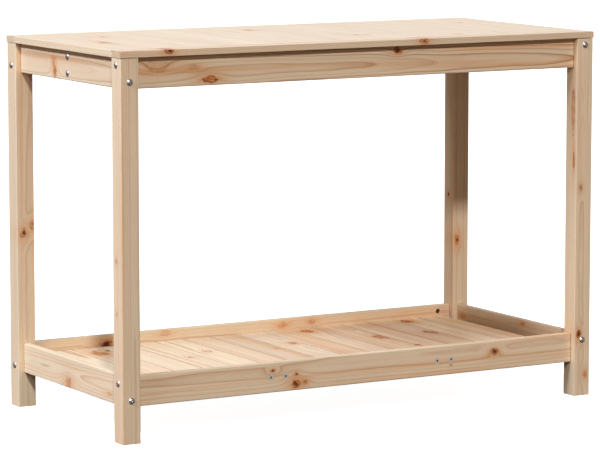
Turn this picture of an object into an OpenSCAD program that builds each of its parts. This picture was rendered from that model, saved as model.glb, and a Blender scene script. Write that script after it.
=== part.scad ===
// Potting bench in planed pine: a boarded worktop on four legs, with a slatted shelf below.
// It is a flat-pack frame, held by bolts that pull the rails onto the legs.
// Millimetres, +Z up. The origin is on the floor under the middle of the bench,
// +X runs along its length and its front faces -Y.

/* [Overall size] */
// Length of the worktop, along X
bench_length = 1080; // [1050:1:1150]
// Depth of the worktop, along Y
bench_depth = 500; // [460:1:620]
// Height of the working surface above the floor
bench_height = 750; // [600:1:950]

/* [Legs] */
// Width of a square leg
leg_width = 38; // [36:1:46]
// Radius on the long edges of a leg
leg_round = 1.5; // [0.5:0.5:4]
// How far the worktop reaches past the outer faces of the legs
worktop_overhang = 1; // [0:0.5:10]
// Gap between the top of a leg and the worktop, which rests on the rails
leg_top_gap = 0.8; // [0:0.1:2]

/* [Rails] */
// Thickness of a rail
rail_thickness = 14; // [14:1:20]
// Height of a rail
rail_height = 60; // [56:1:80]
// Radius on the long edges of a rail
rail_round = 2.5; // [0.5:0.5:4]
// Height of the lower rails' bottom edges above the floor
lower_rail_clearance = 70; // [40:1:300]

/* [Worktop] */
// Thickness of the worktop
worktop_thickness = 13; // [12:0.5:20]
// Width of a worktop plank, shoulder to shoulder
plank_width = 64.5; // [62:0.5:65]
// Width of the laths along the front and back of the worktop
lath_width = 38; // [30:1:60]

/* [Shelf] */
// Thickness of a shelf slat
slat_thickness = 12; // [11:0.5:16]
// Width of a shelf slat, shoulder to shoulder
slat_width = 64; // [60:0.5:66]
// Gap between the end of a slat and the rail
slat_end_gap = 1; // [0:0.5:3]
// Chamfer on the top edges of a slat, two of which make the groove at a joint
slat_chamfer = 1; // [0.5:0.1:2]
// Gap between the upper faces of two slats, above the tongue
slat_gap = 1; // [0:0.1:2]
// Distance from the middle of the shelf to a batten under it
batten_offset = 145; // [80:1:160]

/* [Fasteners] */
// Height of a bolt above or below the middle of its rail
bolt_offset = 16; // [14:0.5:18]
// Diameter of a bolt's domed head
bolt_head_d = 13; // [11:0.5:15]
// Height of a bolt's domed head
bolt_head_h = 3.4; // [2.5:0.1:4]
// Distance from the end of a rail to the barrel nut inside it
nut_setback = 31; // [24:1:40]
// Distance of a shelf screw from the middle of its slat
shelf_screw_offset = 16.5; // [10:0.5:22]

/* [Hidden] */
$fn = 40;
EPS = 0.5; // how far a cut reaches past the face that it opens

PINE = [0.87, 0.73, 0.56];
PINE_LIGHT = [0.91, 0.80, 0.65];
BEECH = [0.80, 0.62, 0.44];
STEEL = [0.78, 0.78, 0.80];

// Joints between boards
tongue_length = 4.5;
tongue_thickness = 4;
groove_depth = 5;
groove_height = 4.3;
plank_chamfer = 0.4;
worktop_round = 1;

// M6 bolts, barrel nuts and dowels
bolt_d = 6;
bolt_hole_d = 7;
bolt_head_rim = 0.6;
bolt_past_nut = 6;
hex_key = 4;
hex_depth = 2.4;
nut_d = 10;
nut_hole_d = 10.3;
nut_length = 10;
nut_thread_d = 6.1;
nut_slot = [1.4, 1.2]; // width and depth
dowel_d = 8;
dowel_hole_d = 8.1;
dowel_in_leg = 12;
dowel_in_rail = 18;
dowel_end_room = 0.5;
dowel_chamfer = 1;

// Wood screws: shank and head diameter, head height, length. A shelf screw has a hex socket.
shelf_screw = [5, 12.5, 3.6, 42];
batten_screw = [3.5, 7, 2, 20];
bracket_screw = [3.5, 6.5, 1.8, 12];
screw_play = 0.1; // room round a shank in its pilot hole, on the diameter
screw_clearance = 0.5; // the same in the first board that it passes through

// Brackets that hold the worktop down on the long rails
bracket_reach = 32;
bracket_drop = 25;
bracket_width = 16;
bracket_thickness = 2;
bracket_screw_out = 24; // from the rail's inner face
bracket_screw_down = 15; // from the worktop

batten_size = [38, 12]; // width and thickness

// How far a screw goes into the board that it holds
batten_screw_hold = batten_screw[3] - batten_size[1];
bracket_screw_hold = bracket_screw[3] - bracket_thickness;

// Places worked out from the sizes above
worktop_z = bench_height - worktop_thickness;
leg_x = bench_length / 2 - worktop_overhang - leg_width / 2;
leg_y = bench_depth / 2 - worktop_overhang - leg_width / 2;
upper_z = worktop_z - rail_height / 2;
lower_z = lower_rail_clearance + rail_height / 2;
rail_heights = [upper_z, lower_z];

// A side of the frame is 0 front, 1 right, 2 back or 3 left. Each side is drawn as the front
// and turned into place, so the four legs are alike, each turned a quarter from the last.
function side_out(side) = side % 2 == 0 ? leg_y : leg_x;
function side_half(side) = (side % 2 == 0 ? leg_x : leg_y) - leg_width / 2;

plank_pairs = floor(bench_length / 2 / plank_width);
end_plank_width = bench_length / 2 - plank_pairs * plank_width;
plank_count = 2 * plank_pairs + 2;
plank_length = bench_depth - 2 * lath_width;
bracket_planks = [1.5, 5.5]; // places of the brackets from the middle, in planks

slat_count = floor(2 * side_half(0) / slat_width);
slat_length = 2 * (leg_y - rail_thickness / 2 - slat_end_gap);
slat_z = lower_z - slat_thickness / 2;
first_fixed_slat = round((slat_count - 1) / 2 - 3);
fixed_slats = [first_fixed_slat, slat_count - 1 - first_fixed_slat];
batten_z = slat_z - batten_size[1];
beam_half = leg_x - rail_thickness / 2;

function slat_x(i) = (i - (slat_count - 1) / 2) * slat_width;
function is_end(i, count) = i == 0 || i == count - 1;

// Names
function two_digits(n) = n < 10 ? str("0", n) : str(n);
function plank_name(i) = str("worktop_plank_", two_digits(i + 1));
function slat_name(i) = str("shelf_slat_", two_digits(i + 1));
leg_names = ["leg_front_left", "leg_front_right", "leg_back_right", "leg_back_left"];
upper_rail_names = ["upper_front_rail", "upper_right_rail", "upper_back_rail", "upper_left_rail"];
lower_rail_names = ["lower_front_rail", "lower_right_rail", "lower_back_rail", "lower_left_rail"];

// ---------- shared shapes ----------

// Puts its children, drawn on the front side, on the given side
module on_side(side) {
    rotate([0, 0, 90 * side]) translate([0, -side_out(side), 0]) children();
}

// A rectangle with round corners, about the origin
module rounded_section(width, height, radius) {
    square([width - 2 * radius, height], center = true);
    square([width, height - 2 * radius], center = true);
    for (x = [-1, 1], y = [-1, 1]) {
        translate([x * (width / 2 - radius), y * (height / 2 - radius)]) circle(radius);
    }
}

// A bar along X with its long edges rounded
module bar_x(length, width, height, radius) {
    rotate([90, 0, 90]) linear_extrude(length, center = true) {
        rounded_section(width, height, radius);
    }
}

// A round bar from the origin along +X
module rod_x(length, diameter) {
    rotate([0, 90, 0]) cylinder(h = length, d = diameter);
}

// Outline of a tongued and grooved board, groove on the left and tongue on the right.
// Its top edges are chamfered by left_cut and right_cut. Above the tongue and the groove its
// sides stand back by half of the gap between two boards.
function board_outline(width, thickness, left_cut, right_cut, groove, tongue, gap = 0) =
    let (half = width / 2, middle = thickness / 2)
    let (edge = half + tongue_length, bed = groove_depth - half)
    let (left = groove ? gap / 2 - half : -half, right = tongue ? half - gap / 2 : half)
    concat(
        [[-half, 0], [half, 0]],
        !tongue ? [] : [
            [half, middle - tongue_thickness / 2], [edge, middle - tongue_thickness / 2],
            [edge, middle + tongue_thickness / 2], [right, middle + tongue_thickness / 2]
        ],
        [[right, thickness - right_cut], [right - right_cut, thickness]],
        [[left + left_cut, thickness], [left, thickness - left_cut]],
        !groove ? [] : [
            [left, middle + groove_height / 2], [bed, middle + groove_height / 2],
            [bed, middle - groove_height / 2], [-half, middle - groove_height / 2]
        ]
    );

// A domed bolt with a hex socket: its head sits on the plane X = 0 and its shank runs along +X
module dome_bolt(length) {
    cap_h = bolt_head_h - bolt_head_rim;
    cap_r = (pow(bolt_head_d / 2, 2) + pow(cap_h, 2)) / (2 * cap_h);
    rotate([0, 90, 0]) {
        difference() {
            union() {
                cylinder(h = length - 1, d = bolt_d);
                translate([0, 0, length - 1]) cylinder(h = 1, d1 = bolt_d, d2 = bolt_d - 2);
                intersection() {
                    translate([0, 0, -bolt_head_h]) cylinder(h = bolt_head_h, d = bolt_head_d);
                    translate([0, 0, cap_r - bolt_head_h]) sphere(cap_r);
                }
            }
            translate([0, 0, -bolt_head_h - EPS]) {
                cylinder(h = hex_depth + EPS, d = hex_key / cos(30), $fn = 6);
            }
        }
    }
}

// A barrel nut, upright along Y, threaded along X, with a slot in the end that faces +Y
module barrel_nut() {
    difference() {
        rotate([90, 0, 0]) cylinder(h = nut_length, d = nut_d, center = true);
        translate([-nut_d, 0, 0]) rod_x(2 * nut_d, nut_thread_d);
        translate([0, nut_length / 2, 0]) {
            cube([2 * nut_d, 2 * nut_slot[1], nut_slot[0]], center = true);
        }
    }
}

// The hole for a barrel nut, from the face at Y = face inwards
module barrel_nut_hole(face) {
    depth = rail_thickness / 2 + nut_length / 2 + 0.2;
    translate([0, face + EPS, 0]) rotate([90, 0, 0]) cylinder(h = depth + EPS, d = nut_hole_d);
}

// A cross recess that opens on the plane X = 0 and goes in along +X
module cross_recess(size, depth) {
    for (turn = [0, 90]) {
        rotate([turn, 0, 0]) {
            translate([depth / 2 - EPS, 0, 0]) cube([depth + 2 * EPS, size, size / 5], center = true);
        }
    }
}

// A hex socket that opens on the plane X = 0 and goes in along +X
module hex_recess(depth) {
    translate([-EPS, 0, 0]) rotate([0, 90, 0]) {
        cylinder(h = depth + EPS, d = hex_key / cos(30), $fn = 6);
    }
}

// A countersunk wood screw, its flat head flush with the plane X = 0, pointing along +X. Its
// child is the recess that the driver turns it by.
module countersunk_screw(screw) {
    difference() {
        rotate([0, 90, 0]) {
            cylinder(h = screw[2], d1 = screw[1], d2 = screw[0]);
            cylinder(h = screw[3] - 3, d = screw[0]);
            translate([0, 0, screw[3] - 3]) cylinder(h = 3, d1 = screw[0], d2 = 0.6);
        }
        children();
    }
}

// The hole for a countersunk screw's head and shank in a board of the given thickness
module countersunk_hole(screw, thickness) {
    translate([-EPS, 0, 0]) rod_x(thickness + 2 * EPS, screw[0] + screw_clearance);
    rotate([0, 90, 0]) {
        cylinder(h = screw[2] + 0.1, d1 = screw[1] + 0.2, d2 = screw[0] + 0.2);
    }
}

// A round-headed wood screw: its head sits on the plane X = 0 and it points along +X
module round_head_screw(screw) {
    cap_r = (pow(screw[1] / 2, 2) + pow(screw[2], 2)) / (2 * screw[2]);
    difference() {
        rotate([0, 90, 0]) {
            cylinder(h = screw[3] - 3, d = screw[0]);
            translate([0, 0, screw[3] - 3]) cylinder(h = 3, d1 = screw[0], d2 = 0.6);
            intersection() {
                translate([0, 0, -screw[2]]) cylinder(h = screw[2], d = screw[1]);
                translate([0, 0, cap_r - screw[2]]) sphere(cap_r);
            }
        }
        translate([-screw[2], 0, 0]) cross_recess(screw[0] * 1.1, screw[2] * 0.6);
    }
}

// ---------- places of the fasteners ----------

// The two bolted ends of a side's rail at height z. A child drawn at the rail's end, with the
// rail along +X, lands at the upper bolt's height on the first end and at the lower bolt's on
// the second. Above and below are swapped for the dowels, by lift = -1.
module at_rail_ends(side, z, lift) {
    for (end = [-1, 1]) {
        translate([end * side_half(side), 0, z - end * lift * bolt_offset]) {
            facing(end) children();
        }
    }
}

// Turns its children so that they point inwards from the end at -X or at +X
module facing(end) {
    if (end < 0) {
        children();
    } else {
        mirror([1, 0, 0]) children();
    }
}

// The ends of the worktop beam: a child drawn at the side rail's outer face, along +X
module at_beam_ends() {
    for (side = [1, 3], lift = [-1, 1]) {
        on_side(side) translate([0, -rail_thickness / 2, upper_z + lift * bolt_offset]) {
            rotate([0, 0, 90]) children();
        }
    }
}

// The shelf screws on a long side: a child drawn at the rail's outer face, along +X
module at_shelf_screws() {
    for (i = fixed_slats, offset = [-shelf_screw_offset, shelf_screw_offset]) {
        translate([slat_x(i) + offset, -rail_thickness / 2, lower_z]) {
            rotate([0, 0, 90]) children();
        }
    }
}

// The brackets on a long side: a child drawn at the rail's inner face, under the worktop
module at_brackets() {
    for (place = bracket_planks, end = [-1, 1]) {
        translate([end * place * plank_width, rail_thickness / 2, worktop_z]) children();
    }
}

// ---------- frame ----------

module leg(corner) {
    // A leg is drawn at the front left corner, where side 0 starts, and turned into place
    along = corner % 2 == 0 ? [-leg_x, -leg_y] : [-leg_y, -leg_x];
    height = worktop_z - leg_top_gap;
    color(PINE) rotate([0, 0, 90 * corner]) translate([along[0], along[1], 0]) difference() {
        linear_extrude(height) rounded_section(leg_width, leg_width, leg_round);
        for (z = rail_heights) {
            translate([-leg_width, 0, z + bolt_offset]) rod_x(2 * leg_width, bolt_hole_d);
            translate([0, -leg_width, z - bolt_offset]) {
                rotate([0, 0, 90]) rod_x(2 * leg_width, bolt_hole_d);
            }
            translate([leg_width / 2 - dowel_in_leg - dowel_end_room, 0, z - bolt_offset]) {
                rod_x(leg_width, dowel_hole_d);
            }
            translate([0, leg_width / 2 - dowel_in_leg - dowel_end_room, z + bolt_offset]) {
                rotate([0, 0, 90]) rod_x(leg_width, dowel_hole_d);
            }
        }
    }
}

// A rail before any holes for a beam or a shelf are made in it
module bolted_rail(side, z) {
    difference() {
        translate([0, 0, z]) {
            bar_x(2 * side_half(side), rail_thickness, rail_height, rail_round);
        }
        at_rail_ends(side, z, 1) {
            translate([-EPS, 0, 0]) rod_x(nut_setback + bolt_past_nut + 1, bolt_hole_d);
            translate([nut_setback, 0, 0]) barrel_nut_hole(rail_thickness / 2);
        }
        at_rail_ends(side, z, -1) {
            translate([-EPS, 0, 0]) rod_x(dowel_in_rail + dowel_end_room + EPS, dowel_hole_d);
        }
    }
}

module upper_rail(side) {
    color(PINE) on_side(side) difference() {
        bolted_rail(side, upper_z);
        if (side % 2 == 1) {
            // Holes for the bolts that hold the worktop beam
            for (lift = [-1, 1]) {
                translate([0, -rail_thickness, upper_z + lift * bolt_offset]) {
                    rotate([0, 0, 90]) rod_x(2 * rail_thickness, bolt_hole_d);
                }
            }
        } else {
            // Pilot holes for the brackets' screws
            at_brackets() translate([0, EPS, -bracket_screw_down]) {
                rotate([0, 0, -90]) {
                    rod_x(bracket_screw_hold + 2 * EPS, bracket_screw[0] + screw_play);
                }
            }
        }
    }
}

module lower_rail(side) {
    color(PINE) on_side(side) difference() {
        bolted_rail(side, lower_z);
        if (side % 2 == 0) {
            at_shelf_screws() countersunk_hole(shelf_screw, rail_thickness);
        }
    }
}

// The beam under the middle of the worktop, between the two short upper rails
module worktop_beam() {
    color(PINE) difference() {
        translate([0, 0, upper_z]) bar_x(2 * beam_half, rail_thickness, rail_height, rail_round);
        for (end = [-1, 1], lift = [-1, 1]) {
            translate([end * beam_half, 0, upper_z + lift * bolt_offset]) facing(end) {
                translate([-EPS, 0, 0]) rod_x(nut_setback + bolt_past_nut + 1, bolt_hole_d);
                translate([nut_setback, 0, 0]) barrel_nut_hole(rail_thickness / 2);
            }
        }
    }
}

// ---------- worktop ----------

// A lath along the front (side 0) or back (side 2), grooved for the tongues of the planks
module worktop_lath(side) {
    color(PINE_LIGHT) rotate([0, 0, 90 * side]) {
        translate([0, (lath_width - bench_depth) / 2, worktop_z + worktop_thickness / 2]) {
            difference() {
                bar_x(bench_length, lath_width, worktop_thickness, worktop_round);
                translate([0, lath_width / 2, 0]) {
                    cube([bench_length + 2 * EPS, 2 * groove_depth, groove_height], center = true);
                }
            }
        }
    }
}

function plank_size(i) = is_end(i, plank_count) ? end_plank_width : plank_width;
function plank_x(i) =
    i == 0 ? (end_plank_width - bench_length) / 2
    : i == plank_count - 1 ? (bench_length - end_plank_width) / 2
    : (i - (plank_count - 1) / 2) * plank_width;

module worktop_plank(i) {
    first = i == 0;
    last = i == plank_count - 1;
    size = plank_size(i);
    tongue_from = first ? -size / 2 : groove_depth - size / 2;
    tongue_over = size / 2 - tongue_from;
    outline = board_outline(
        size,
        worktop_thickness,
        first ? worktop_round : plank_chamfer,
        last ? worktop_round : plank_chamfer,
        !first,
        !last
    );
    color(PINE_LIGHT) difference() {
        translate([plank_x(i), 0, worktop_z]) {
            rotate([90, 0, 0]) linear_extrude(plank_length, center = true) polygon(outline);
            translate([tongue_from + tongue_over / 2, 0, worktop_thickness / 2]) {
                cube([tongue_over, plank_length + 2 * tongue_length, tongue_thickness], center = true);
            }
        }
        // Pilot holes for the brackets' screws
        for (side = [0, 2]) {
            on_side(side) at_brackets() translate([0, bracket_screw_out, -EPS]) {
                cylinder(h = bracket_screw_hold + 2 * EPS, d = bracket_screw[0] + screw_play);
            }
        }
    }
}

// ---------- shelf ----------

module shelf_slat(i) {
    outline = board_outline(
        slat_width, slat_thickness, slat_chamfer, slat_chamfer, i > 0, i < slat_count - 1, slat_gap
    );
    // The end chamfer is a little smaller, so that it meets the side chamfers in clean corners
    end_chamfer = 0.8 * slat_chamfer;
    cutter = 4 * slat_chamfer;
    color(PINE_LIGHT) difference() {
        translate([slat_x(i), 0, slat_z]) {
            rotate([90, 0, 0]) linear_extrude(slat_length, center = true) polygon(outline);
        }
        for (end = [-1, 1]) {
            translate([slat_x(i), end * slat_length / 2, slat_z + slat_thickness]) {
                rotate([-45 * end, 0, 0]) translate([0, 0, cutter / 2 - end_chamfer / sqrt(2)]) {
                    cube([2 * slat_width, cutter, cutter], center = true);
                }
            }
            translate([slat_x(i), end * batten_offset, slat_z - EPS]) {
                cylinder(h = batten_screw_hold + 2 * EPS, d = batten_screw[0] + screw_play);
            }
        }
        if (i == fixed_slats[0] || i == fixed_slats[1]) {
            for (side = [0, 2]) {
                on_side(side) at_shelf_screws() rod_x(shelf_screw[3] + EPS, shelf_screw[0] + screw_play);
            }
        }
    }
}

module shelf_batten(y) {
    color(PINE) difference() {
        translate([0, y, batten_z + batten_size[1] / 2]) {
            bar_x((slat_count - 0.4) * slat_width, batten_size[0], batten_size[1], 1);
        }
        for (i = [0 : slat_count - 1]) {
            translate([slat_x(i), y, batten_z]) rotate([0, -90, 0]) {
                countersunk_hole(batten_screw, batten_size[1]);
            }
        }
    }
}

// ---------- fasteners ----------

module leg_bolts() {
    length = leg_width + nut_setback + bolt_past_nut;
    color(STEEL) for (side = [0 : 3], z = rail_heights) {
        on_side(side) at_rail_ends(side, z, 1) translate([-leg_width, 0, 0]) dome_bolt(length);
    }
}

module leg_barrel_nuts() {
    color(STEEL) for (side = [0 : 3], z = rail_heights) {
        on_side(side) at_rail_ends(side, z, 1) translate([nut_setback, 0, 0]) barrel_nut();
    }
}

module rail_dowels() {
    length = dowel_in_leg + dowel_in_rail;
    color(BEECH) for (side = [0 : 3], z = rail_heights) {
        on_side(side) at_rail_ends(side, z, -1) translate([-dowel_in_leg, 0, 0]) {
            rotate([0, 90, 0]) rotate_extrude() polygon([
                [0, 0],
                [dowel_d / 2 - dowel_chamfer, 0],
                [dowel_d / 2, dowel_chamfer],
                [dowel_d / 2, length - dowel_chamfer],
                [dowel_d / 2 - dowel_chamfer, length],
                [0, length]
            ]);
        }
    }
}

module beam_bolts() {
    color(STEEL) at_beam_ends() dome_bolt(rail_thickness + nut_setback + bolt_past_nut);
}

module beam_barrel_nuts() {
    color(STEEL) for (end = [-1, 1], lift = [-1, 1]) {
        translate([end * (beam_half - nut_setback), 0, upper_z + lift * bolt_offset]) barrel_nut();
    }
}

module shelf_screws() {
    color(STEEL) for (side = [0, 2]) {
        on_side(side) at_shelf_screws() countersunk_screw(shelf_screw) hex_recess(hex_depth);
    }
}

module batten_screws() {
    color(STEEL) for (i = [0 : slat_count - 1], y = [-batten_offset, batten_offset]) {
        translate([slat_x(i), y, batten_z]) rotate([0, -90, 0]) {
            countersunk_screw(batten_screw) cross_recess(batten_screw[0] * 1.1, batten_screw[2] * 0.7);
        }
    }
}

// A bent steel bracket: one leaf on the rail's inner face, the other under the worktop
module worktop_brackets() {
    hole_d = bracket_screw[0] + screw_clearance;
    color(STEEL) for (side = [0, 2]) {
        on_side(side) at_brackets() difference() {
            union() {
                translate([-bracket_width / 2, 0, -bracket_drop]) {
                    cube([bracket_width, bracket_thickness, bracket_drop]);
                }
                translate([-bracket_width / 2, 0, -bracket_thickness]) {
                    cube([bracket_width, bracket_reach, bracket_thickness]);
                }
            }
            translate([0, -EPS, -bracket_screw_down]) {
                rotate([0, 0, 90]) rod_x(bracket_thickness + 2 * EPS, hole_d);
            }
            translate([0, bracket_screw_out, -bracket_thickness - EPS]) {
                cylinder(h = bracket_thickness + 2 * EPS, d = hole_d);
            }
        }
    }
}

module bracket_screws() {
    color(STEEL) for (side = [0, 2]) {
        on_side(side) at_brackets() {
            translate([0, bracket_thickness, -bracket_screw_down]) {
                rotate([0, 0, -90]) round_head_screw(bracket_screw);
            }
            translate([0, bracket_screw_out, -bracket_thickness]) {
                rotate([0, -90, 0]) round_head_screw(bracket_screw);
            }
        }
    }
}

// ---------- the bench ----------

for (k = [0 : 3]) leg(k);
for (k = [0 : 3]) upper_rail(k);
for (k = [0 : 3]) lower_rail(k);
worktop_beam();
worktop_lath(0);  // worktop_front_lath
worktop_lath(2);  // worktop_back_lath
for (i = [0 : plank_count - 1]) worktop_plank(i);
for (i = [0 : slat_count - 1]) shelf_slat(i);
shelf_batten(-batten_offset);  // shelf_front_batten
shelf_batten(batten_offset);  // shelf_back_batten
leg_bolts();
leg_barrel_nuts();
rail_dowels();
beam_bolts();
beam_barrel_nuts();
shelf_screws();
batten_screws();
worktop_brackets();
bracket_screws();
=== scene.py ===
import math
import random
from collections import namedtuple

import bpy
from mathutils import Euler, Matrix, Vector


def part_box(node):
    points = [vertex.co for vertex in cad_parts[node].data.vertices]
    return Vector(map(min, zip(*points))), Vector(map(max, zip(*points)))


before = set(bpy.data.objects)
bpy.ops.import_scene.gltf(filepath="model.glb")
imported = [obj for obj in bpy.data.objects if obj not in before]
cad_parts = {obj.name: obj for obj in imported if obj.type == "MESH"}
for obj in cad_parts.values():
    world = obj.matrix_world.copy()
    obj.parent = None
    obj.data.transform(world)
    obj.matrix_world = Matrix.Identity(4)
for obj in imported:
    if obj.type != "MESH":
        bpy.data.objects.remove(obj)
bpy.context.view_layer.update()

MM = 0.001


# ---------- node helpers ----------

def srgb(red, green, blue):
    """A linear RGBA colour from its 0-255 display values."""
    def linear(value):
        value /= 255
        return value / 12.92 if value <= 0.04045 else ((value + 0.055) / 1.055) ** 2.4
    return (linear(red), linear(green), linear(blue), 1.0)


class Nodes:
    """Builds the nodes of a material or a world.

    A number, a tuple or another node's output may feed an input."""

    def __init__(self, owner):
        owner.use_nodes = True
        self.owner = owner
        self.tree = owner.node_tree
        self.tree.nodes.clear()

    def feed(self, socket, value):
        if isinstance(value, bpy.types.NodeSocket):
            self.tree.links.new(value, socket)
        else:
            socket.default_value = value

    def add(self, kind, inputs=None, **settings):
        node = self.tree.nodes.new("ShaderNode" + kind)
        for name, value in settings.items():
            setattr(node, name, value)
        for name, value in (inputs or {}).items():
            self.feed(node.inputs[name], value)
        return node

    def place(self):
        """The place of a point in the frame."""
        return self.add("TexCoord").outputs["Object"]

    def part(self, vector, axis):
        """One of the three numbers of a vector."""
        return self.add("SeparateXYZ", {"Vector": vector}).outputs[axis]

    def math(self, operation, *values):
        node = self.add("Math", operation=operation)
        for socket, value in zip(node.inputs, values):
            self.feed(socket, value)
        return node.outputs[0]

    def span(self, value, low, high):
        """Low where the value is 0, high where it is 1, and in proportion elsewhere."""
        return self.math("MULTIPLY_ADD", value, high - low, low)

    def vector(self, operation, *values):
        node = self.add("VectorMath", operation=operation)
        for socket, value in zip(node.inputs, values):
            self.feed(socket, value)
        return node.outputs["Value" if operation in ("LENGTH", "DOT_PRODUCT") else "Vector"]

    def scaled(self, vector, factor):
        """The vector times a number that varies over the surface."""
        node = self.add("VectorMath", {"Scale": factor}, operation="SCALE")
        self.feed(node.inputs[0], vector)
        return node.outputs["Vector"]

    def clouds(self, vector, cells, detail, roughness):
        """A noise node with so many cells in a metre on each axis."""
        inputs = {"Scale": 1.0, "Detail": detail, "Roughness": roughness}
        inputs["Vector"] = self.vector("MULTIPLY", vector, cells)
        return self.add("TexNoise", inputs)

    def noise(self, vector, cells, detail=2.0, roughness=0.5):
        """Noise from 0 to 1."""
        return self.clouds(vector, cells, detail, roughness).outputs[0]

    def wobble(self, vector, cells, size):
        """A random offset of up to half of the size on each axis."""
        colour = self.clouds(vector, cells, 2.0, 0.45).outputs["Color"]
        return self.vector("MULTIPLY", self.vector("SUBTRACT", colour, (0.5, 0.5, 0.5)), size)

    def bell(self, offset, reach):
        """1 where the offset is nothing, falling to 0 past the reach on each axis."""
        away = self.vector("LENGTH", self.vector("DIVIDE", offset, reach))
        return self.math("EXPONENT", self.math("MULTIPLY", self.math("POWER", away, 2.0), -1.0))

    def steps(self, value, start, end):
        """0 on start's side, 1 past end, smooth between; start may be the larger one."""
        node = self.add("MapRange", {"Value": value, "From Min": start, "From Max": end},
                        interpolation_type="SMOOTHSTEP")
        return node.outputs[0]

    def curve(self, value, stops):
        """A piecewise curve through (place, height) stops."""
        node = self.add("ValToRGB", {"Fac": value})
        ramp = node.color_ramp
        while len(ramp.elements) < len(stops):
            ramp.elements.new(1.0)
        for element, (place, height) in zip(ramp.elements, stops):
            element.position = place
            element.color = (height, height, height, 1.0)
        return node.outputs["Color"]

    def mix(self, factor, first, second, blend="MIX"):
        node = self.add("Mix", data_type="RGBA", blend_type=blend)
        self.feed(node.inputs[0], factor)
        self.feed(node.inputs[6], first)
        self.feed(node.inputs[7], second)
        return node.outputs[2]

    def surface(self, inputs, height=None, relief=0.0):
        """The finished surface. height runs from 0 to 1, and relief is its depth in metres."""
        if height is not None:
            bump = self.add("Bump", {"Strength": 1.0, "Distance": relief, "Height": height})
            inputs["Normal"] = bump.outputs["Normal"]
        shader = self.add("BsdfPrincipled", inputs)
        self.add("OutputMaterial", {"Surface": shader.outputs[0]})
        return self.owner


def new_material(name):
    return Nodes(bpy.data.materials.new(name))


# ---------- pine ----------

EARLYWOOD = srgb(238, 212, 180)
LATEWOOD = srgb(192, 134, 86)
ROSY = srgb(232, 187, 143)
PALE = srgb(236, 216, 184)
KNOT_HALO = srgb(222, 148, 78)
KNOT_WOOD = srgb(180, 94, 46)
KNOT_ORANGE = srgb(222, 140, 74)
KNOT_HEART = srgb(92, 32, 18)

# Noise cells in a metre along the grain, across it and through the board
STREAK_CELLS = (1.2, 55, 55)
FIBRE_CELLS = (22, 900, 900)
CANAL_CELLS = (110, 1300, 1300)
MOTTLE_CELLS = (4, 22, 22)
WANDER_CELLS = (2.4, 14, 14)
RIPPLE_CELLS = (14, 70, 70)
KNOT_EDGE_CELLS = (60, 75, 75)
KNOT_RAGGED_CELLS = (150, 190, 190)
KNOT_BLOTCH_CELLS = (110, 130, 130)
KNOT_RIM_CELLS = (70, 80, 80)

# How the wood shows on each kind of board: ring width in millimetres, strength of the dark rings,
# how askew the pith may run, how far the rings wander in millimetres, and the specular level
Figure = namedtuple("Figure", "ring strength askew wander gloss")
FIGURES = {
    "leg_": Figure(2.2, 0.4, 0.003, 3, 0.3),
    "upper_left": Figure(2.6, 0.5, 0.006, 5, 0.3),
    "upper_": Figure(3.0, 0.95, 0.014, 11, 0.3),
    "lower_": Figure(3.0, 0.45, 0.008, 7, 0.15),
    "worktop_": Figure(2.6, 0.55, 0.012, 6, 0.3),
    "shelf_": Figure(2.8, 0.55, 0.01, 5, 0.03),
}

# The dark line of a growth ring, from the ring's inner edge to its outer edge
RING_PROFILE = [(0, 0.25), (0.06, 0), (0.55, 0.06), (0.84, 0.5), (0.93, 1), (1, 0.25)]
RING_RIPPLE = 0.8 * MM

# The pith's place from the middle of a board: at most so far across it, and above or below it
PITH_ACROSS = 20 * MM
PITH_THROUGH = (20 * MM, 60 * MM)

# How far a knot pushes the rings aside, as a part of their way from its core, and how far it lifts
# them, as a part of its radius
KNOT_PUSH = 0.55
KNOT_LIFT = 0.55

PINE_RELIEF = 0.12 * MM

# How light and how rosy some of the boards are
Tone = namedtuple("Tone", "light rosy")
PLAIN_TONE = Tone(1.0, 0.0)
TONES = {
    "leg_front_right": Tone(1.1, -0.06), "leg_back_left": Tone(0.98, -0.03),
    "upper_front_rail": Tone(1.06, 0.05), "upper_left_rail": Tone(1.02, 0.0),
    "lower_front_rail": Tone(1.06, -0.02), "lower_left_rail": Tone(1.04, -0.06),
    "lower_right_rail": Tone(0.88, 0.1), "lower_back_rail": Tone(0.93, -0.14),
    "worktop_front_lath": Tone(1.02, 0.05), "worktop_": Tone(1.04, -0.12),
    "shelf_slat_01": Tone(1.12, -0.14), "shelf_slat_02": Tone(1.1, -0.06),
    "shelf_slat_03": Tone(1.14, -0.16), "shelf_slat_04": Tone(1.12, -0.1),
    "shelf_slat_05": Tone(1.13, -0.16), "shelf_slat_06": Tone(1.05, 0.0),
    "shelf_slat_07": Tone(0.97, 0.1), "shelf_slat_08": Tone(1.02, -0.04),
    "shelf_slat_09": Tone(0.98, 0.13), "shelf_slat_10": Tone(1.02, 0.07),
    "shelf_slat_11": Tone(1.1, 0.13), "shelf_slat_12": Tone(1.14, 0.09),
    "shelf_slat_13": Tone(1.17, 0.11), "shelf_slat_14": Tone(1.2, 0.07),
    "shelf_slat_15": Tone(1.2, 0.09),
}

# A knot in its board: its place in the board's axes, 0 for the axis that it runs along and 1 for
# the others, its radius, how much longer than wide it is, how strong its colour is, and the part
# that its heart takes
Knot = namedtuple("Knot", "place flat radius length strength heart")

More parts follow.
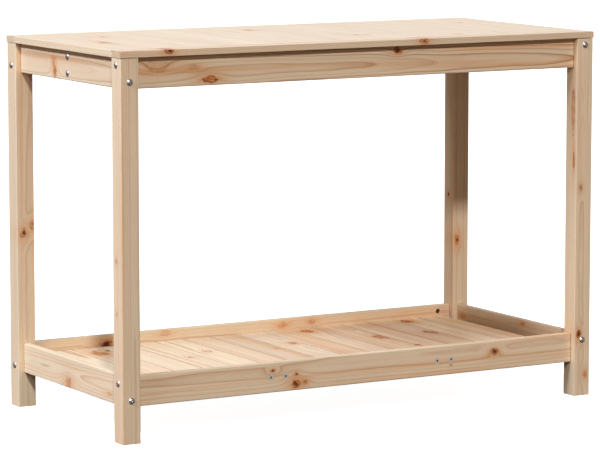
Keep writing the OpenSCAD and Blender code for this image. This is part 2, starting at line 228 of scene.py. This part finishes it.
# Knots as they are placed, in millimetres from the frame's origin. The letter is the axis that a
# knot runs along, and the next two numbers are its other coordinates in X, Y, Z order. The last
# four are the last four of a Knot.
KNOTS = {
    "upper_front_rail": [("Y", -341, 689, 7, 2.6, 1.0, 0.2), ("Y", 79, 727, 7, 1.3, 0.8, 0.6),
                         ("Y", -455, 718, 12, 2.2, 0.25, 0), ("Y", -375, 712, 6, 2.5, 0.2, 0)],
    "lower_front_rail": [("Y", -205, 113, 5, 1.6, 0.4, 0.45), ("Y", -152, 102, 4, 1.3, 0.6, 0.5),
                         ("Y", -154, 83, 10, 1.1, 0.8, 0.55), ("Y", -132, 85, 5, 1.5, 0.6, 0.3),
                         ("Y", 312, 107, 7.5, 1.2, 0.7, 0.55), ("Y", 208, 89, 2.2, 1.0, 0.4, 0.3)],
    "upper_left_rail": [("X", 56, 689, 11, 0.5, 0.9, 0.1), ("X", 62, 707, 8, 0.6, 0.6, 0.2)],
    "lower_left_rail": [("X", 9, 79, 12, 1.2, 0.5, 0.1), ("X", -168, 86, 4, 3.0, 0.3, 0)],
    "lower_back_rail": [("Y", -335, 110, 10, 1.5, 0.9, 0.7), ("Y", -199, 122, 6, 2.0, 0.25, 0.1),
                        ("Y", 82, 116, 7, 1.8, 0.4, 0.2), ("Y", 152, 119, 6, 1.6, 0.35, 0.2)],
    "lower_right_rail": [("X", 195, 106, 6, 2.4, 0.4, 0.25), ("X", -41, 121, 5, 2.0, 0.4, 0.25)],
    "worktop_front_lath": [("Y", -436, 747, 7, 1.4, 0.8, 0.5), ("Y", 133, 745, 7, 1.6, 0.7, 0.35)],
    "leg_front_left": [("X", -226, 350, 4, 1.2, 0.35, 0.3), ("X", -226, 250, 3, 1.2, 0.25, 0.2)],
    "leg_back_left": [("Y", -524, 353, 9, 1.1, 0.5, 0.45), ("Y", -505, 370, 7, 1.3, 0.5, 0.3)],
    "leg_back_right": [("X", 231, 368, 4, 1.2, 0.6, 0.6), ("Y", 511, 271, 6, 2.2, 0.9, 0.4)],
    "leg_front_right": [("X", -240, 487, 3.2, 5.0, 0.9, 0.2), ("X", -236, 590, 6, 8.0, 0.5, 0),
                        ("Y", 513, 431, 5, 1.5, 0.4, 0.4), ("Y", 512, 127, 6, 1.7, 1.0, 0.55),
                        ("Y", 527, 44, 6, 1.3, 0.6, 0.1)],
}

# Knots of the planks and the slats, which all run along Z, so that the letter is left out
PLANK_KNOTS = [(-458, -31, 13, 1.5, 0.9, 0.1), (-395, 108, 7, 1.3, 0.7, 0.2),
               (-52, 132, 9, 1.3, 0.8, 0.1), (69, -94, 7, 1.2, 0.9, 0.2),
               (93, -97, 5, 1.2, 0.7, 0.2), (260, -174, 6, 1.2, 0.7, 0.2),
               (450, 108, 6, 1.2, 0.7, 0.2)]
SLAT_KNOTS = [(-387, 152, 17, 1.4, 0.75, 0), (-378, 140, 7, 1.3, 1.0, 0.2),
              (-357, 172, 6, 1.2, 0.9, 0.6), (-185, 66, 9, 1.2, 0.4, 0.1),
              (-249, 19, 7, 1.2, 0.4, 0.2), (-46, 25, 7, 1.2, 0.4, 0.2),
              (15, 66, 10, 1.3, 0.8, 0.2), (117, 184, 14, 1.4, 1.0, 0.2),
              (215, 41, 16, 1.4, 1.0, 0.1), (369, 188, 12, 1.4, 1.0, 0.3),
              (335, 41, 14, 1.3, 1.0, 0.2), (228, -81, 7, 1.2, 0.9, 0.4)]

# A board's axes in the frame: along the grain, across it, through the board
ALONG_X_UPRIGHT = (0, 2, 1)
ALONG_X_FLAT = (0, 1, 2)
ALONG_Y_UPRIGHT = (1, 2, 0)
ALONG_Y_FLAT = (1, 0, 2)
ALONG_Z = (2, 0, 1)

# The dark joint lines at a board's edges, dust and painted shade where it meets its neighbours: the
# place of their axis among the board's axes, their width and how dark they are
JointDustAndShade = namedtuple("JointDustAndShade", "axis width depth")
ALONG, ACROSS = 0, 1
SLAT_DUST_AND_SHADE = JointDustAndShade(ACROSS, 1.5 * MM, 0.6)
PLANK_DUST_AND_SHADE = JointDustAndShade(ACROSS, 0.7 * MM, 0.3)
RAIL_DUST_AND_SHADE = JointDustAndShade(ALONG, 1.6 * MM, 0.65)
END_PLANKS = ("worktop_plank_01", "worktop_plank_18")


def entry_for(name, table, default=None):
    """The table's first entry whose key begins the name."""
    return next((entry for start, entry in table.items() if name.startswith(start)), default)


def board_axes(name):
    if name.startswith("leg_"):
        return ALONG_Z
    if name.startswith(("worktop_plank", "shelf_slat")):
        return ALONG_Y_FLAT
    if name.endswith(("_lath", "_batten")):
        return ALONG_X_FLAT
    if "left_rail" in name or "right_rail" in name:
        return ALONG_Y_UPRIGHT
    return ALONG_X_UPRIGHT


def joint_dust_and_shade(name):
    """A board's dark joint lines of dust and painted shade, or None. The planks at the ends have an open
    edge, so they have none.
    """
    if name.startswith("shelf_slat"):
        return SLAT_DUST_AND_SHADE
    if name.startswith("worktop_plank") and name not in END_PLANKS:
        return PLANK_DUST_AND_SHADE
    if name.endswith("_rail"):
        return RAIL_DUST_AND_SHADE
    return None


def placed_knots(name, box):
    """The knots that a board shows, as they are listed with their letter."""
    if name.startswith("worktop_plank"):
        flat_knots = PLANK_KNOTS
    elif name.startswith("shelf_slat"):
        flat_knots = SLAT_KNOTS
    else:
        return KNOTS.get(name, [])
    return [("Z",) + knot for knot in flat_knots if box[0].x < knot[0] * MM < box[1].x]


def knots_of(name, box, order):
    """A board's knots in its own axes, from its middle, in metres."""
    middle = (box[0] + box[1]) / 2
    found = []
    for letter, first, second, radius, length, strength, heart in placed_knots(name, box):
        axis = "XYZ".index(letter)
        place = [first * MM, second * MM]
        place.insert(axis, middle[axis])
        place = [place[i] - middle[i] for i in order]
        flat = [0.0 if i == axis else 1.0 for i in order]
        found.append(Knot(place, flat, radius * MM, length, strength, heart))
    return found


def board_position(nodes, box, order):
    """The place in a board from its middle: along the grain, across it, through the board."""
    middle = (box[0] + box[1]) / 2
    offset = nodes.vector("SUBTRACT", nodes.place(), middle)
    x, y, z = (nodes.part(offset, axis) for axis in order)
    return nodes.add("CombineXYZ", {"X": x, "Y": y, "Z": z}).outputs[0]


def from_knot(nodes, local, knot):
    """The way from a knot's core line to a place in the board."""
    return nodes.vector("MULTIPLY", nodes.vector("SUBTRACT", local, knot.place), knot.flat)


def bend_round_knots(nodes, local, knots):
    """The place in the board with the rings pushed aside by its knots, and how far they are lifted."""
    bent = local
    lift = 0.0
    for knot in knots:
        away = from_knot(nodes, local, knot)
        size = knot.radius
        near = nodes.bell(away, (2.6 * knot.length ** 0.5 * size, 1.5 * size, 1.5 * size))
        bent = nodes.vector("SUBTRACT", bent, nodes.scaled(away, nodes.math("MULTIPLY", near, KNOT_PUSH)))
        lift = nodes.math("ADD", lift, nodes.math("MULTIPLY", near, KNOT_LIFT * size))
    return bent, lift


def growth_rings(nodes, local, grain, knots, figure, draw):
    """0 in the pale spring wood to 1 in the dark line that ends each year's ring."""
    bent, lift = bend_round_knots(nodes, local, knots)
    pith_across = draw.uniform(-PITH_ACROSS, PITH_ACROSS)
    pith_through = draw.choice((-1, 1)) * draw.uniform(*PITH_THROUGH)
    skew = (draw.uniform(-figure.askew, figure.askew), draw.uniform(-figure.askew, figure.askew))
    reach = figure.wander * MM
    bent = nodes.vector("ADD", bent, nodes.wobble(grain, WANDER_CELLS, (0.0, reach, reach)))
    bent = nodes.vector("ADD", bent, nodes.wobble(grain, RIPPLE_CELLS, (0.0, RING_RIPPLE, RING_RIPPLE)))
    along, across, through = (nodes.part(bent, axis) for axis in range(3))
    across = nodes.math("SUBTRACT", nodes.math("MULTIPLY_ADD", along, skew[0], across), pith_across)
    through = nodes.math("SUBTRACT", nodes.math("MULTIPLY_ADD", along, skew[1], through), pith_through)
    radius = nodes.vector("LENGTH", nodes.add("CombineXYZ", {"X": across, "Y": through}).outputs[0])
    width = figure.ring * draw.uniform(0.85, 1.2) * MM
    rings = nodes.math("DIVIDE", nodes.math("ADD", radius, lift), width)
    number = nodes.math("FLOOR", rings)
    year = nodes.add("TexWhiteNoise", {"W": number}, noise_dimensions="1D").outputs[0]
    late = nodes.curve(nodes.math("FRACT", rings), RING_PROFILE)
    return nodes.math("MULTIPLY", late, nodes.span(year, 0.3 * figure.strength, 1.4 * figure.strength))


def wood_tint(nodes, grain, late, tone):
    """The wood's colour: broad streaks under the growth rings."""
    tint = nodes.math("ADD", nodes.noise(grain, STREAK_CELLS, 2.5), tone.rosy)
    colour = nodes.mix(nodes.steps(tint, 0.5, 0.72), EARLYWOOD, ROSY)
    colour = nodes.mix(nodes.steps(tint, 0.5, 0.3), colour, PALE)
    return nodes.mix(late, colour, LATEWOOD)


def wood_shade(nodes, grain, fibre, tone, draw):
    """The wood's brightness: fibres, dark resin canals, and clouds that are wider than both."""
    shade = nodes.span(fibre, 0.92, 1.08)
    canal = nodes.steps(nodes.noise(grain, CANAL_CELLS, 1.0), 0.68, 0.74)
    shade = nodes.math("MULTIPLY", shade, nodes.span(canal, 1.0, 0.78))
    mottle = nodes.noise(grain, MOTTLE_CELLS, 2.0)
    shade = nodes.math("MULTIPLY", shade, nodes.span(mottle, 0.93, 1.07))
    return nodes.math("MULTIPLY", shade, tone.light * draw.uniform(0.98, 1.02))


def darker_ends(nodes, shade, axis):
    """Darkens the two sawn ends of a board."""
    normal = nodes.part(nodes.add("TexCoord").outputs["Normal"], axis)
    end = nodes.steps(nodes.math("ABSOLUTE", normal), 0.6, 0.9)
    return nodes.math("MULTIPLY", shade, nodes.span(end, 1.0, 0.86))


def darken_joints_with_dust_and_shade(nodes, shade, local, half, lines):
    """Darkens a board's edges, half a board from its middle, where it meets its neighbours: dust and
    painted shade in the joint.
    """
    away = nodes.math("ABSOLUTE", nodes.part(local, lines.axis))
    edge = nodes.steps(away, half - 1.3 * lines.width, half - 0.6 * lines.width)
    return nodes.math("MULTIPLY", shade, nodes.span(edge, 1.0, 1.0 - lines.depth))


def paint_knots(nodes, colour, local, grain, knots):
    """Lays knots over the wood: a glow round each, a blotchy body, a broken rim and a dark core.

    Gives the colour, and how far it is a knot's, from 0 to 1."""
    cover = 0.0
    if not knots:
        return colour, cover
    ragged = nodes.span(nodes.noise(grain, KNOT_RAGGED_CELLS, 3.0, 0.6), -0.3, 0.3)
    blotch = nodes.steps(nodes.noise(grain, KNOT_BLOTCH_CELLS, 2.0), 0.4, 0.6)
    broken = nodes.steps(nodes.noise(grain, KNOT_RIM_CELLS, 1.0), 0.48, 0.58)
    wood = nodes.mix(blotch, KNOT_WOOD, KNOT_ORANGE)
    for knot in knots:
        away = from_knot(nodes, local, knot)
        size = knot.radius
        halo = nodes.bell(away, (2.1 * knot.length * size, 1.7 * size, 1.7 * size))
        colour = nodes.mix(nodes.math("MULTIPLY", halo, 0.25 + 0.45 * knot.strength), colour, KNOT_HALO)
        away = nodes.vector("ADD", away, nodes.wobble(grain, KNOT_EDGE_CELLS, (2.0 * size, size, size)))
        out = nodes.vector("LENGTH", nodes.vector("DIVIDE", away, (knot.length * size, size, size)))
        out = nodes.math("ADD", out, ragged)
        body = nodes.math("MULTIPLY", nodes.steps(out, 1.15, 0.7), 0.9 * knot.strength)
        colour = nodes.mix(body, colour, wood)
        rim = nodes.steps(nodes.math("ABSOLUTE", nodes.math("SUBTRACT", out, 0.85)), 0.28, 0.04)
        rim = nodes.math("MULTIPLY", nodes.math("MULTIPLY", rim, broken), 0.7 * knot.strength)
        colour = nodes.mix(rim, colour, KNOT_HEART)
        core = nodes.steps(out, knot.heart + 0.12, knot.heart - 0.2)
        colour = nodes.mix(nodes.math("MULTIPLY", core, min(0.9, 2.2 * knot.heart)), colour, KNOT_HEART)
        cover = nodes.math("MAXIMUM", cover, body)
    return colour, cover


def pine(name, box, order):
    """Pine for one board. order holds its axes: along the grain, across it, through the board."""
    nodes = new_material("pine_" + name)
    draw = random.Random(name)
    figure = entry_for(name, FIGURES)
    tone = entry_for(name, TONES, PLAIN_TONE)
    knots = knots_of(name, box, order)
    local = board_position(nodes, box, order)
    # Every board takes its noise from a place of its own
    grain = nodes.vector("ADD", local, [draw.uniform(-9, 9) for axis in order])
    late = growth_rings(nodes, local, grain, knots, figure, draw)
    fibre = nodes.noise(grain, FIBRE_CELLS, 3.0, 0.6)
    colour = wood_tint(nodes, grain, late, tone)
    shade = wood_shade(nodes, grain, fibre, tone, draw)
    shade = darker_ends(nodes, shade, order[0])
    # Dust and painted shade darken the board's edges where it meets its neighbours
    lines = joint_dust_and_shade(name)
    if lines:
        half = (box[1] - box[0])[order[lines.axis]] / 2
        shade = darken_joints_with_dust_and_shade(nodes, shade, local, half, lines)
    grey = nodes.add("CombineXYZ", {"X": shade, "Y": shade, "Z": shade}).outputs[0]
    colour = nodes.mix(1.0, colour, grey, "MULTIPLY")
    colour, cover = paint_knots(nodes, colour, local, grain, knots)
    rough = nodes.math("MULTIPLY_ADD", late, -0.12, nodes.span(fibre, 0.36, 0.52))
    hard = nodes.math("MAXIMUM", late, cover)
    height = nodes.math("MULTIPLY_ADD", hard, 0.4, nodes.math("MULTIPLY", fibre, 0.6))
    inputs = {"Base Color": colour, "Roughness": rough, "Specular IOR Level": figure.gloss}
    return nodes.surface(inputs, height, PINE_RELIEF)


# ---------- metal and dowels ----------

def bright_metal():
    """Galvanised bolts: a soft grey shine."""
    nodes = new_material("bright_bolt_metal")
    place = nodes.place()
    cloud = nodes.noise(place, (140, 140, 140), 3.0)
    scratch = nodes.noise(place, (2600, 2600, 2600), 2.0, 0.7)
    colour = nodes.mix(cloud, srgb(200, 198, 196), srgb(226, 224, 220))
    rough = nodes.math("MULTIPLY_ADD", cloud, 0.14, nodes.span(scratch, 0.24, 0.36))
    return nodes.surface({"Base Color": colour, "Metallic": 1.0, "Roughness": rough}, scratch, 0.01 * MM)


def zinc():
    """Matt zinc on the wood screws and the brackets."""
    nodes = new_material("zinc_plated_steel")
    place = nodes.place()
    cloud = nodes.noise(place, (90, 90, 90), 4.0, 0.6)
    grit = nodes.noise(place, (2000, 2000, 2000), 2.0, 0.6)
    colour = nodes.mix(nodes.steps(cloud, 0.35, 0.7), srgb(214, 210, 200), srgb(232, 226, 212))
    rough = nodes.math("MULTIPLY_ADD", cloud, 0.12, nodes.span(grit, 0.42, 0.54))
    return nodes.surface({"Base Color": colour, "Metallic": 0.5, "Roughness": rough}, grit, 0.02 * MM)


def zinc_with_painted_socket_shade(box):
    """Matt zinc screws whose sockets carry painted shade: only the outer faces of the heads are bright.
    """
    nodes = new_material("zinc_screws_painted_socket_shade")
    place = nodes.place()
    cloud = nodes.noise(place, (120, 120, 120), 4.0, 0.6)
    colour = nodes.mix(cloud, srgb(216, 212, 202), srgb(236, 230, 216))
    out = nodes.math("ABSOLUTE", nodes.part(place, 1))
    # Painted shade: below the outer faces of the heads, the sockets and shanks are painted dark brown
    painted_socket_shade = nodes.steps(out, box[1].y - 0.2 * MM, box[1].y - 0.6 * MM)
    colour = nodes.mix(nodes.math("MULTIPLY", painted_socket_shade, 0.9), colour, srgb(52, 44, 38))
    rough = nodes.span(cloud, 0.45, 0.57)
    return nodes.surface({"Base Color": colour, "Metallic": 0.3, "Roughness": rough}, cloud, 0.05 * MM)


def dark_steel():
    """Oiled steel of the barrel nuts, deep in their holes."""
    nodes = new_material("dark_barrel_nut_steel")
    place = nodes.place()
    cloud = nodes.noise(place, (200, 200, 200), 3.0)
    turned = nodes.noise(place, (1800, 1800, 1800), 2.0, 0.6)
    colour = nodes.mix(cloud, srgb(84, 76, 68), srgb(122, 114, 104))
    rough = nodes.span(turned, 0.35, 0.55)
    return nodes.surface({"Base Color": colour, "Metallic": 0.9, "Roughness": rough}, turned, 0.01 * MM)


def beech():
    """Turned beech with the small dark flecks of its rays."""
    nodes = new_material("beech_dowel")
    place = nodes.place()
    fleck = nodes.steps(nodes.noise(place, (500, 500, 500), 2.0), 0.55, 0.7)
    tint = nodes.noise(place, (60, 60, 60), 3.0)
    colour = nodes.mix(tint, srgb(214, 172, 128), srgb(226, 188, 146))
    colour = nodes.mix(nodes.math("MULTIPLY", fleck, 0.5), colour, srgb(178, 126, 84))
    rough = nodes.span(tint, 0.45, 0.6)
    return nodes.surface({"Base Color": colour, "Roughness": rough}, fleck, 0.05 * MM)


def dress_nodes():
    """Gives every CAD node its material: its own, its CAD material's, or else pine."""
    nut_steel = dark_steel()
    own = {"leg_barrel_nuts": nut_steel, "beam_barrel_nuts": nut_steel,
           "shelf_screws": zinc_with_painted_socket_shade(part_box("shelf_screws"))}
    shared = {"bolt_metal": bright_metal(), "zinc_steel": zinc(), "beech_dowels": beech()}
    for name, thing in sorted(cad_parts.items()):
        slot = thing.material_slots[0]
        finish = own.get(name) or shared.get(slot.material.name)
        slot.material = finish or pine(name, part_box(name), board_axes(name))


# ---------- floor, light and camera ----------

WHITE = (1.0, 1.0, 1.0, 1.0)

# The floor as the camera sees it, and as it throws light back onto the bench
FLOOR_SIDE = 160.0
FLOOR_SEEN = srgb(246, 246, 246)
FLOOR_BOUNCE = srgb(70, 60, 52)
FLOOR_GLOW_SEEN = 0.95
FLOOR_GLOW_MIRRORED = 0.05

# Places are in degrees: from the front (-Y) towards the left (-X), and above the floor
FRONT_PLACE = (22, 35)
FRONT_ANGLE = 4
FRONT_STRENGTH = 1.7
LEFT_PLACE = (85, 38)
LEFT_DISTANCE = 12.0
LEFT_AIM = Vector((0, 0, 0.4))
LEFT_SIZE = (4.2, 1.6)
LEFT_POWER = 1150
LEFT_COLOUR = (0.98, 1.06, 1.22)

# CEILING holds the sines of two heights: the walls are dark above the first and full below the
# second. BACKDROP_EDGE holds the cosines of two angles from the backdrop's middle: it is gone past
# the first and full within the second.
WALLS = 0.32
WALL_COLOUR = (1.0, 0.78, 0.63, 1.0)
CEILING = (0.8, 0.4)
BACKDROP = 1.15
BACKDROP_OPPOSITE = (30, 0)
BACKDROP_EDGE = (0.75, 0.95)

LENS = 197.87
SENSOR_WIDTH = 36.0
EYE = (-3.344, -5.744, 1.220)
EYE_TURN = 30.164
EYE_TILT = 7.495


def towards(turn, rise):
    """The direction to a place that is given in degrees."""
    turn, rise = math.radians(turn), math.radians(rise)
    return Vector((-math.sin(turn) * math.cos(rise), -math.cos(turn) * math.cos(rise), math.sin(rise)))


def place_in_scene(name, data, location, rotation):
    """Adds the object of a light or a camera."""
    thing = bpy.data.objects.new(name, data)
    thing.location = location
    thing.rotation_euler = rotation
    bpy.context.scene.collection.objects.link(thing)
    return thing


def facing(way):
    """The rotation that makes a light's beam come from a direction."""
    return way.to_track_quat("Z", "Y").to_euler()


def floor():
    """A plain white floor. It is dimmer in the light that it throws back onto the bench."""
    nodes = new_material("studio_floor")
    ray = nodes.add("LightPath").outputs
    colour = nodes.mix(ray["Is Camera Ray"], FLOOR_BOUNCE, FLOOR_SEEN)
    glow = nodes.math("MULTIPLY", ray["Is Camera Ray"], FLOOR_GLOW_SEEN)
    glow = nodes.math("MULTIPLY_ADD", ray["Is Glossy Ray"], FLOOR_GLOW_MIRRORED, glow)
    material = nodes.surface({"Base Color": colour, "Roughness": 0.8, "Specular IOR Level": 0.1,
                              "Emission Color": WHITE, "Emission Strength": glow})
    half = FLOOR_SIDE / 2
    corners = [(-half, -half, 0), (half, -half, 0), (half, half, 0), (-half, half, 0)]
    mesh = bpy.data.meshes.new("studio_floor")
    mesh.from_pydata(corners, [], [(0, 1, 2, 3)])
    mesh.materials.append(material)
    thing = bpy.data.objects.new("studio_floor", mesh)
    bpy.context.scene.collection.objects.link(thing)


def front_light():
    """A sun from the front, which throws the short shadow under the worktop's edge."""
    sun = bpy.data.lights.new("front_light", "SUN")
    sun.angle = math.radians(FRONT_ANGLE)
    sun.energy = FRONT_STRENGTH
    place_in_scene("front_light", sun, (0, 0, 0), facing(towards(*FRONT_PLACE)))


def left_light():
    """A cool soft light, which makes the left faces brighter than the front ones."""
    box = bpy.data.lights.new("left_softbox", "AREA")
    box.shape = "RECTANGLE"
    box.size, box.size_y = LEFT_SIZE
    box.energy = LEFT_POWER
    box.color = LEFT_COLOUR
    way = towards(*LEFT_PLACE)
    place_in_scene("left_softbox", box, LEFT_AIM + LEFT_DISTANCE * way, facing(way))


def walls():
    """Dim walls under a dark ceiling, and a brighter backdrop that shows as a sheen on the tops.

    The camera itself sees only white."""
    world = bpy.data.worlds.new("studio")
    nodes = Nodes(world)
    way = nodes.add("TexCoord").outputs["Generated"]
    cosine = nodes.vector("DOT_PRODUCT", way, -towards(*BACKDROP_OPPOSITE))
    back = nodes.steps(cosine, *BACKDROP_EDGE)
    glow = nodes.span(back, WALLS, WALLS + BACKDROP)
    glow = nodes.math("MULTIPLY", glow, nodes.steps(nodes.part(way, 2), *CEILING))
    seen = nodes.add("LightPath").outputs["Is Camera Ray"]
    glow = nodes.math("MAXIMUM", glow, seen)
    colour = nodes.mix(nodes.math("MAXIMUM", back, seen), WALL_COLOUR, WHITE)
    background = nodes.add("Background", {"Color": colour, "Strength": glow})
    nodes.add("OutputWorld", {"Surface": background.outputs[0]})
    bpy.context.scene.world = world
    bpy.context.scene.view_settings.view_transform = "Standard"


def camera():
    """The photo's view: from the left of the front, a little above the worktop."""
    lens = bpy.data.cameras.new("camera")
    lens.sensor_width = SENSOR_WIDTH
    lens.lens = LENS
    lens.clip_end = 200.0
    rotation = Euler((math.radians(90 - EYE_TILT), 0, math.radians(-EYE_TURN)))
    bpy.context.scene.camera = place_in_scene("camera", lens, EYE, rotation)


camera()
front_light()
left_light()
walls()
floor()
dress_nodes()
